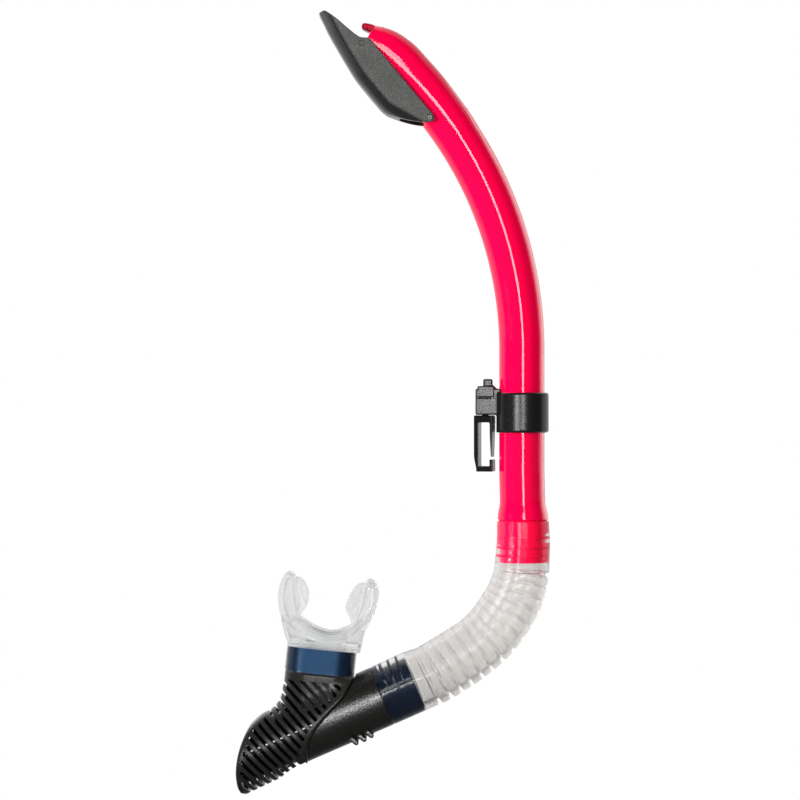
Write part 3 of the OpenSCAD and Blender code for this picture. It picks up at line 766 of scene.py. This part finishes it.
# x, z round the area that has slots
SLOTTED = [(-113.6, -128.2), (-118.5, -142), (-119.4, -145.0), (-121.2, -149.9), (-127.4, -156.0),
           (-130.4, -162.0), (-132.8, -169.7), (-133.9, -178.2), (-133.4, -185.4),
           (-131.8, -190.0), (-130.5, -200), (-120, -200), (-101.3, -186), (-101.3, -166.3),
           (-97.4, -156.6), (-90.4, -147.2), (-81.9, -137.6), (-77.9, -131.6), (-90, -130.2)]
slotted_outline = outline(SLOTTED, (-160, -215), (-60, -110), 0.2)


def cover_outside(x, y, z):
    run, up = body_place(x, z)
    height, across = port_place(x, z)
    cone = (np.hypot(up, y)
            - (18.1 + 0.7 * ease(-8, -15, up) + 1.5 * np.clip((30 - run) / 90, 0, 1)))
    port = np.maximum(oval(across, y, 19.6, 13.4), -6 - height)
    return soft_min(cone, port, 5.0)


def cover(x, y, z):
    outside = cover_outside(x, y, z)
    edge = 0.4 + 1.1 * ease(-15.5, -11, body_place(x, z)[1])
    shell = cut(round_max(outside, cover_outline(x, z), edge),
                np.maximum(outside + WALL, chamber_outline(x, z) + WALL))
    shell = cut(shell, oval(port_place(x, z)[1], y, 17.45, 11.25))
    place = ((x - SLOT_ORIGIN[0]) * math.sin(rad(SLOT_ANGLE))
             + (z - SLOT_ORIGIN[1]) * math.cos(rad(SLOT_ANGLE)) - SLOT_START)
    slots = np.abs(place - SLOT_PITCH * np.round(place / SLOT_PITCH)) - SLOT_WIDTH / 2
    slots = -soft_min(-slots, -slotted_outline(x, z), 0.6)
    shell = round_max(shell, -slots, 0.3)
    # upright rib low on the seam
    rib = box(x, y, z, centre=(-97.9, 0, -170.0), half=(0.45, 18.3, 4.2), edge=0.3)
    return np.minimum(shell, np.maximum(rib, outside - 0.1))


# ------------------------------------------------------------------ mouthpiece
# x, z round the whole mouthpiece: up the -X side, along the cup, down the +X side
LIP_LEFT = [(-108.4, -111.4), (-108.8, -107.6), (-110.6, -101.8), (-112.4, -94.2), (-113.7, -86.4),
            (-113.4, -80.0), (-111.0, -72.6), (-107.7, -69.9), (-104.4, -72.6), (-103.0, -78.0)]
LIP_CUP = [(-102.4, -94.6), (-94.8, -99.6), (-85.0, -102.7), (-77.6, -101.0), (-73.6, -99.2)]
LIP_RIGHT = [(-71.2, -92.0), (-67.6, -80.8), (-66.4, -76.6), (-63.3, -74.2), (-60.2, -76.8),
             (-58.6, -82.9), (-60.6, -91.6), (-63.4, -97.4), (-66.4, -103.6), (-68.2, -111.6),
             (-69.5, -115.0)]
# x, z round the two bite tabs
TAB_LEFT = [(-102.8, -95.2), (-98.2, -88.6), (-96.9, -83.4), (-97.7, -78.6), (-100.4, -74.0),
            (-103.8, -73.0), (-106.0, -78.0), (-106.0, -90.0)]
TAB_RIGHT = [(-73.4, -99.0), (-74.7, -95.2), (-76.6, -91.0), (-76.6, -87.4), (-73.6, -81.0),
             (-70.4, -77.0), (-66.8, -76.4), (-65.0, -80.0), (-67.8, -93.0)]
# x, z of both ends of the toothed ridges beside the tabs
TOOTHED = [((-102.3, -78.0), (-99.0, -88.0)), ((-67.6, -78.6), (-74.2, -92.2))]
# x, z down the middle of the U-shaped flange wall
FLANGE = smooth([(-107.9, -74.5), (-109.0, -81.0), (-107.6, -89.0), (-104.2, -95.4),
                 (-98.5, -100.8), (-91.5, -104.2), (-84.8, -105.4), (-78.2, -104.2),
                 (-72.6, -100.6), (-68.2, -95.4), (-65.0, -88.6), (-63.4, -82.0), (-63.4, -78.0)], 4)
# share of the way round the U; half thickness there
FLANGE_HALF = ([0, .08, .2, .3, .4, .5, .6, .7, .8, .92, 1],
               [3.6, 4.4, 4.6, 3.6, 2.7, 2.5, 2.6, 3.0, 4.0, 4.4, 3.4])


def flange_distance(x, z):
    halves = np.interp(np.linspace(0, 1, len(FLANGE)), *FLANGE_HALF)
    nearest = np.inf
    for i in range(len(FLANGE) - 1):
        t, distance = segment(x, z, FLANGE[i], FLANGE[i + 1])
        nearest = np.minimum(nearest, distance - (halves[i] + t * (halves[i + 1] - halves[i])))
    return nearest


MOUTH_AREA = ((-125, -125), (-45, -60))
mouth_outline = outline(smooth(LIP_LEFT, 4) + smooth(LIP_CUP, 4) + smooth(LIP_RIGHT, 4),
                        *MOUTH_AREA, 0.1)
tab_outlines = [outline(smooth(tab, 4), *MOUTH_AREA, 0.1) for tab in (TAB_LEFT, TAB_RIGHT)]
flange_outline = PlaneField(flange_distance, *MOUTH_AREA, 0.15)


def mouthpiece(x, y, z):
    height, across = port_place(x, z)
    side = np.abs(y)
    whole = mouth_outline(x, z)
    # collar over the spigot, and a neck flaring into the flange
    collar = round_max(oval(across, y, 19.25, 13.05), height - 47.2, 0.8)
    collar = round_max(collar, 29.4 - height, 0.3)
    neck = round_max(whole, side - (12.6 - 3.0 * ease(46.0, 56.0, height)), 2.5)
    neck = np.maximum(neck, 42.4 - height)
    flange_side = 16.5 * np.sqrt(np.maximum(1 - ((x + 86) / 30.5) ** 2, 0.02))
    wall = round_max(flange_outline(x, z), whole, 0.6)
    wall = round_max(wall, side - flange_side, 1.6)
    # pockets on both sides of the central web, which is 2.4 thick each way
    pocket = np.maximum(np.maximum(whole + 2.6, flange_outline(x, z) + 1.9), 2.4 - side)
    pocket = np.maximum(pocket, -96.0 - z)
    solid = soft_min(soft_cut(wall, pocket, 0.8), neck, 1.6)
    for tab in tab_outlines:
        solid = soft_min(solid, round_max(tab(x, z), side - 2.5, 1.0), 0.9)
    for start, end in TOOTHED:
        line = np.array([end[0] - start[0], end[1] - start[1]])
        length = float(np.hypot(*line))
        line = line / length
        run = (x - start[0]) * line[0] + (z - start[1]) * line[1]
        off = (x - start[0]) * -line[1] + (z - start[1]) * line[0]
        off = off - 0.35 * np.abs((run / 1.15) % 2 - 1)
        ridge = box(run, off, side, centre=(length / 2, 0, 2.5),
                    half=(length / 2, 0.35, 0.45), edge=0.2)
        solid = np.minimum(solid, ridge)
    solid = soft_min(solid, collar, 0.8)
    # two fine grooves round the neck
    groove = np.minimum(np.abs(height - 45.1) - 0.3, np.abs(height - 42.6) - 0.3)
    solid = soft_cut(solid, np.maximum(groove, -0.45 - solid), 0.2)
    # bore over the spigot
    solid = cut(solid, np.maximum(oval(across, y, 17.15, 10.95), height - 43.35))
    # fine double line along the inside of the curve
    lines = np.minimum(np.abs(whole + 0.95) - 0.13, np.abs(whole + 2.1) - 0.13)
    lines = np.maximum(lines, np.maximum(np.abs(x + 87.5) - 15.5, z + 94.5))
    solid = soft_cut(solid, np.maximum(lines, -0.45 - solid), 0.12)
    # airway out through the flange
    return soft_cut(solid, np.maximum(oval(across, y, 12.8, 5.8), height - 57), 0.8)


# ------------------------------------------------------------------ hose
# Runs are measured along the hose from HOSE_TOP, down towards the body.
BEND1_END = BEND1_R * rad(BEND1_ANGLE)
BEND2_END = BEND1_END + HOSE_RUN + BEND2_R * rad(BEND2_ANGLE)
AROUND = 112   # points round each ring
# run; radius
HOSE_RADIUS = ([-24.5, -22, -12, -1, 0, 10, 20, 30, 42, 54, 66, 84, 94, 100, 112.4],
               [14.25, 14.33, 14.7, 15.0, 15.0, 15.4, 15.8, 16.05, 16.2, 16.4, 16.75, 16.8, 17.1,
                17.1, 16.95])
# run; shift of the section towards the outside of the bends
HOSE_SHIFT = ([-24.5, -22, -12, -1, 0, 5, 10, 15, 20, 26, 30, 36, 42, 48, 54, 60, 66, 72, 78, 84,
               88, 94, 112.4],
              [.67, .67, .9, .25, .25, 0, -.5, -.65, -.95, -1.35, -1.35, -1.2, -.7, 0, .65, .95,
               .95, .85, .65, .4, -.1, -.3, 0])
# runs of the notches between the ridges
NOTCHES = [4.8, 10.0, 15.6, 21.6, 28.0, 34.6, 41.0, 47.1, 53.2, 59.9, 66.9, 73.6, 79.9, 85.9]
# run; depth of the notches
NOTCH_DEPTH = ([0, 4.8, 8, 28, 35, 41, 47, 53, 60, 80, 86, 90],
               [2.7, 2.7, 0.45, 0.45, 0.6, 1.2, 2.5, 2.5, 3.0, 3.0, 3.2, 3.2])
# degrees from the outside of the bends; strength of the main notch, and of the faint one
MAIN_NOTCH = ([0, 40, 65, 90, 130, 165, 180], [1, 0.95, 0.5, 0.17, 0.08, 0.0, 0.0])
FAINT_NOTCH = ([0, 75, 115, 150, 180], [1, 0.9, 0.8, 0.15, 0])
# extra rings on either side of a notch
NEAR_NOTCH = np.array([-1.9, -1.5, -1.2, -0.95, -0.7, -0.45, -0.25, 0,
                       0.25, 0.45, 0.7, 0.95, 1.2, 1.5, 1.9])


def hose_path(run):
    """Centre and outward direction in XZ at a run."""
    if run <= 0:
        return np.array([TUBE_X, HOSE_TOP - run]), np.array([1.0, 0.0])
    if run <= BEND1_END:
        out = outward(run / BEND1_R)
        return BEND1 + BEND1_R * out, out
    if run <= BEND1_END + HOSE_RUN:
        return RUN_START + (run - BEND1_END) * RUN_DIR, RUN_OUT
    if run <= BEND2_END:
        out = outward(rad(BEND1_ANGLE) + (run - BEND1_END - HOSE_RUN) / BEND2_R)
        return BEND2 + BEND2_R * out, out
    return CUFF_START - (run - BEND2_END) * BODY_DIR, np.array([BODY_DIR[1], -BODY_DIR[0]])


def ridge_crown(run):
    """0 in a notch and 1 midway to the next."""
    i = int(np.clip(np.searchsorted(NOTCHES, run), 1, len(NOTCHES) - 1))
    share = (run - NOTCHES[i - 1]) / (NOTCHES[i] - NOTCHES[i - 1])
    return math.sin(math.pi * np.clip(share, 0, 1))


def outer_runs(top, bottom):
    """Runs of the rings on the outside, closer together at the notches."""
    runs = set(np.round(np.arange(top, bottom, 0.9), 3)) | {round(top, 3), round(bottom, 3)}
    for notch in NOTCHES:
        runs |= set(np.round(notch + NEAR_NOTCH, 3))
    runs = sorted(s for s in runs if top <= s <= bottom)
    kept = [runs[0]]
    for i in range(1, len(runs)):
        if runs[i] - kept[-1] > 0.12 or i == len(runs) - 1:
            kept.append(runs[i])
    return kept


def build_hose():
    top = HOSE_TOP - (SHOULDER_Z - 0.15)
    bottom = BEND2_END + CUFF - 0.1
    turn = np.arange(AROUND) * 2 * math.pi / AROUND
    cos, sin = np.cos(turn), np.sin(turn)
    from_outside = np.abs(np.degrees(np.arccos(np.clip(cos, -1, 1))))
    main, faint = np.interp(from_outside, *MAIN_NOTCH), np.interp(from_outside, *FAINT_NOTCH)
    rings, crown, free = [], [], []

    def ring(run, radius):
        ribbed = NOTCHES[0] < run < NOTCHES[-1]
        crown.append(np.full(AROUND, ridge_crown(run) if ribbed else 0.5))
        free.append(np.full(AROUND, 1.0 if 0.2 < run < BEND2_END - 0.2 else 0.0))
        centre, out = hose_path(run)
        reach = np.interp(run, *HOSE_SHIFT) + radius * cos
        rings.append(np.stack([centre[0] + out[0] * reach, radius * sin,
                               centre[1] + out[1] * reach], 1))

    runs = outer_runs(top, bottom)
    for run in runs:
        full = np.interp(run, *HOSE_RADIUS)
        # small lead-in at each end
        radius = full - 0.5 * max(0, 1 - (run - top) / 0.5) - 0.5 * max(0, 1 - (bottom - run) / 0.5)
        depth = np.interp(run, *NOTCH_DEPTH)
        half_top = 0.26 + (0.95 if depth > 1 else 0.25) * main
        half_floor = 0.10 + 0.22 * main
        drop = np.minimum(depth * main + 0.14 * faint, full - 13.3)
        for notch in NOTCHES:
            inside = np.clip((half_top - abs(run - notch)) / (half_top - half_floor), 0, 1)
            radius = radius - drop * inside
        if NOTCHES[0] < run < NOTCHES[-1]:
            radius = radius + (0.28 * ridge_crown(run) - 0.12) * (0.1 + 0.9 * main)
        ring(run, radius)

    # bore, from the bottom end back up: over the body's spigot, the free part, the barrel's spigot
    bore = [(bottom, 14.15)]
    for radius, stations in (
            (14.2, [bottom - 0.4, *np.arange(bottom - 1.4, BEND2_END + 0.6, -1.2),
                    BEND2_END + 0.55]),
            (12.6, [BEND2_END + 0.3, *np.arange(BEND2_END - 0.8, 0.8, -1.0), 0.3]),
            (12.87, [-0.62, *np.arange(-1.8, top + 1.0, -1.2), top + 0.4, top])):
        bore += [(run, radius) for run in stations]
    for run, radius in bore:
        if 0 < run < BEND2_END:
            radius = radius + 0.25 * ridge_crown(run)
        ring(run, radius)

    points = np.concatenate(rings)
    start = (AROUND * np.arange(len(rings)))[:, None]
    following = np.roll(start, -1, 0)
    k = np.arange(AROUND)
    beside = np.roll(k, -1)
    faces = np.stack([start + k, following + k, following + beside, start + beside], -1)
    faces = faces.reshape(-1, 4)
    ob = make_mesh("hose_skin", points, faces)
    # turn the faces outward, judged by the first face of the fourth ring
    corner = points[faces[3 * AROUND]]
    normal = np.cross(corner[1] - corner[0], corner[2] - corner[0])
    out = hose_path(runs[3])[1]
    if normal[0] * out[0] + normal[2] * out[1] < 0:
        ob.data.flip_normals()
    ob.data.set_sharp_from_angle(angle=rad(38))
    for name, values in (("crown", crown), ("free", free)):
        attribute = ob.data.attributes.new(name, "FLOAT", "POINT")
        attribute.data.foreach_set("value", np.concatenate(values).astype(np.float32))
    return ob


# ------------------------------------------------------------------ build
# name, field, low corner, high corner, grid step, material, moving part, slot, piece replaced
PIECES = [
    ("barrel_shell", barrel, (-80, -14.6, -66), (36, 14.6, 240), 0.55,
     RED, "barrel", "barrel_red", "barrel"),
    ("guard_shell", guard, (-94, -15, 174), (-25, 15, 241), 0.36,
     GUARD_GRAIN_SHEEN, "barrel", "guard_grey", "splash_guard"),
    ("guard_rivet_heads", rivets, (-33, -15.2, 176), (-28, 15.2, 181), 0.14,
     RIVET_GREY, "barrel", "rivet_grey", "guard_rivets"),
    ("guard_studs", studs, (-70.5, -15.2, 216.5), (-65.5, 15.2, 222), 0.14,
     GUARD_GRAIN_SHEEN, "barrel", "guard_grey", "guard_snap_studs"),
    ("keeper_band", band, (-7, -15.5, 5.5), (36, 15.5, 37), 0.3,
     KEEPER_BLACK, "keeper", "keeper_black", "keeper_ring"),
    ("keeper_loop", clip, (-8, -7.5, -16), (8, 7.5, 17), 0.2,
     KEEPER_BLACK, "clip", "keeper_black", "keeper_clip"),
    ("lower_shell", lower_body, (-136.5, -17.6, -193), (-35, 17.6, -109), 0.45,
     BODY_BLACK, "lower", "body_black", "lower_body"),
    ("vent_cover", cover, (-138.5, -20.5, -194), (-69, 20.5, -122), 0.36,
     COVER_BLACK, "lower", "body_black", "purge_cover"),
    ("mouthpiece_skin", mouthpiece, (-116, -18, -129), (-56, 18, -67), 0.36,
     MOUTH_CLEAR, "lower", "clear_silicone", "mouthpiece"),
]
coarser = 1.0
for name, field, low, high, step, material, part, slot, node in PIECES:
    ob = field_mesh(name, field, low, high, step * coarser)
    ob.data.materials.append(material)
    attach(ob, part)
    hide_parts(node)

hose = build_hose()
hose.data.materials.append(HOSE_CLEAR)
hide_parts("hose")
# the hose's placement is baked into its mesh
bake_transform(hose)

for node, material in (("swivel_stud", KEEPER_BLACK), ("valve_seat", BODY_BLACK),
                       ("purge_valve", VALVE_CLEAR)):
    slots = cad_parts[node].data.materials
    if slots:
        for i in range(len(slots)):
            slots[i] = material
    else:
        slots.append(material)

# ------------------------------------------------------------------ studio (metres)
FLOOR_Z, FLOOR_HALF = -0.255, 30.0


def floor_pale():
    """Pale diffuse floor that fades to white away from the snorkel.

    Glossy rays see it dark near the camera and pale behind; diffuse rays see it dimmed.
    """
    tree = Nodes(bpy.data.materials.new("floor_pale"))
    place = tree.add("NewGeometry").outputs["Position"]
    rays = tree.add("LightPath").outputs
    distance = tree.add("VectorMath", {0: place}, operation="LENGTH").outputs["Value"]
    depth = tree.separate(place).outputs["Y"]
    near = tree.remap(depth, (0.0, 0.30), to=(0.93, 0.15))
    light = tree.times(tree.minus(1.0, tree.times(rays["Is Glossy Ray"], near)),
                       tree.minus(1.0, tree.times(rays["Is Diffuse Ray"], 0.62)))
    pale = tree.mix(light, (0.0, 0.0, 0.0), (0.86, 0.86, 0.86))
    return tree.finish(tree.mix_shader(
        tree.remap(distance, (0.16, 0.46), to=(0.35, 1.0)),
        tree.add("BsdfDiffuse", {0: pale}), tree.add("Emission", {1: light})))


floor_mesh = bpy.data.meshes.new("floor")
floor_mesh.from_pydata([(x * FLOOR_HALF, y * FLOOR_HALF, FLOOR_Z)
                        for x, y in ((-1, -1), (1, -1), (1, 1), (-1, 1))], [], [(0, 1, 2, 3)])
floor = bpy.data.objects.new("floor", floor_mesh)
bpy.context.scene.collection.objects.link(floor)
floor_mesh.materials.append(floor_pale())
floor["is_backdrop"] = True


def light_world():
    """White to the camera; to other rays pale behind the snorkel and dark on the camera's side."""
    world = bpy.data.worlds.new("studio")
    bpy.context.scene.world = world
    tree = Nodes(world, "OutputWorld")
    rays = tree.add("LightPath").outputs
    depth = tree.separate(tree.add("TexCoord").outputs["Generated"]).outputs["Y"]

    def greys(stops):
        """Greys from the camera's side (0) to behind the snorkel (1)."""
        return tree.ramp(tree.remap(depth, (-1, 1), kind="LINEAR"),
                         [(position, (grey,) * 3) for position, grey in stops])

    room = greys([(0.0, 0.04), (0.30, 0.010), (0.50, 0.02), (0.62, 0.75), (1.0, 1.0)])
    soft = greys([(0.0, 0.16), (0.5, 0.18), (0.62, 0.36), (1.0, 0.42)])
    colour = tree.mix(rays["Is Glossy Ray"], soft, room)
    colour = tree.mix(rays["Is Camera Ray"], colour, (1.0, 1.0, 1.0))
    tree.finish(tree.add("Background", {0: colour}))
    # guards against a Blender without Cycles, or without this setting
    try:
        world.cycles.sampling_method = "NONE"
    except (AttributeError, TypeError):
        pass


def area(name, location, size, radiance, target=None, rotation=None, glossy=True, only_on=()):
    """A rectangular light the camera can't see, kept to some objects if they are named."""
    data = bpy.data.lights.new(name, "AREA")
    data.shape = "RECTANGLE"
    data.size, data.size_y = size
    data.energy = radiance * math.pi * size[0] * size[1]
    light = bpy.data.objects.new(name, data)
    light.location = location
    if rotation is None:
        rotation = (Vector(target) - Vector(location)).to_track_quat("-Z", "Y")
    light.rotation_euler = rotation.to_euler()
    light.visible_camera = False
    light.visible_glossy = glossy
    bpy.context.scene.collection.objects.link(light)
    if only_on:
        receivers = bpy.data.collections.new(name + "_on")
        for receiver in only_on:
            receivers.objects.link(bpy.data.objects[receiver])
        light.light_linking.receiver_collection = receivers


light_world()
GUARD_PARTS = ("guard_shell", "guard_studs", "guard_rivet_heads")
area("strip", (0.15, -1.9, 0.24), target=(0.15, 0, 0.24), size=(0.30, 0.72), radiance=15.0,
     only_on=("barrel_shell", "keeper_band", "keeper_loop", "lower_shell", "vent_cover",
              "mouthpiece_skin", *GUARD_PARTS))
area("key", (-1.10, -0.75, 0.35), target=(-0.05, 0, 0.02), size=(0.55, 0.9), radiance=19.0,
     glossy=False)
area("top", (-0.1, -0.35, 1.25), target=(-0.05, 0, 0.0), size=(1.1, 0.5), radiance=0.6,
     glossy=False)
# faces +Y, rolled about that axis
area("hood", (0.15, -1.9, 0.665), size=(0.86, 0.11), radiance=10.0,
     rotation=Matrix(((0.6, -0.8, 0.0), (0.0, 0.0, -1.0), (0.8, 0.6, 0.0))))
area("card", (-1.2, -0.15, 0.25), target=(-0.06, 0, 0.15), size=(0.9, 1.6), radiance=1.0,
     only_on=GUARD_PARTS)
area("card_r", (1.065, 0.745, 0.1), target=(0.02, 0, 0.08), size=(0.9, 1.8), radiance=2.0,
     only_on=("barrel_shell",))
area("hose_glow", (-0.34, -1.0, 0.02), target=(0.0, 0, -0.12), size=(0.22, 0.55), radiance=3.5,
     only_on=("hose_skin",))
for name, radiance, receiver in (("sheen", 75.0, "lower_shell"), ("sheen_h", 11.0, "hose_skin")):
    area(name, (-0.05, -1.9, 0.075), target=(-0.05, 0, -0.12), size=(1.3, 0.10),
         radiance=radiance, only_on=(receiver,))
area("kick", (0.16, -1.15, -0.22), target=(-0.05, 0, -0.14), size=(0.5, 0.06), radiance=24.0,
     only_on=("lower_shell",))
area("sheen_c", (-0.25, -1.9, 0.075), target=(-0.1, 0, -0.12), size=(0.7, 0.30), radiance=6.0,
     only_on=("vent_cover",))
area("band_l", (-0.36, -0.95, 0.02), target=(0.02, 0, 0.017), size=(0.22, 0.6), radiance=13.0,
     only_on=("keeper_band",))

lens = bpy.data.cameras.new("camera")
lens.lens = 135.0
lens.sensor_width = 36.0
lens.clip_end = 100
camera = bpy.data.objects.new("camera", lens)
camera.location = (VIEW_CENTRE[0] / 1000, -1.650, VIEW_CENTRE[1] / 1000)
camera.rotation_euler = (math.pi / 2, 0, 0)
scene = bpy.context.scene
scene.collection.objects.link(camera)
scene.camera = camera
scene.view_settings.view_transform = "Standard"
scene.view_settings.look = "None"

low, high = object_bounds()
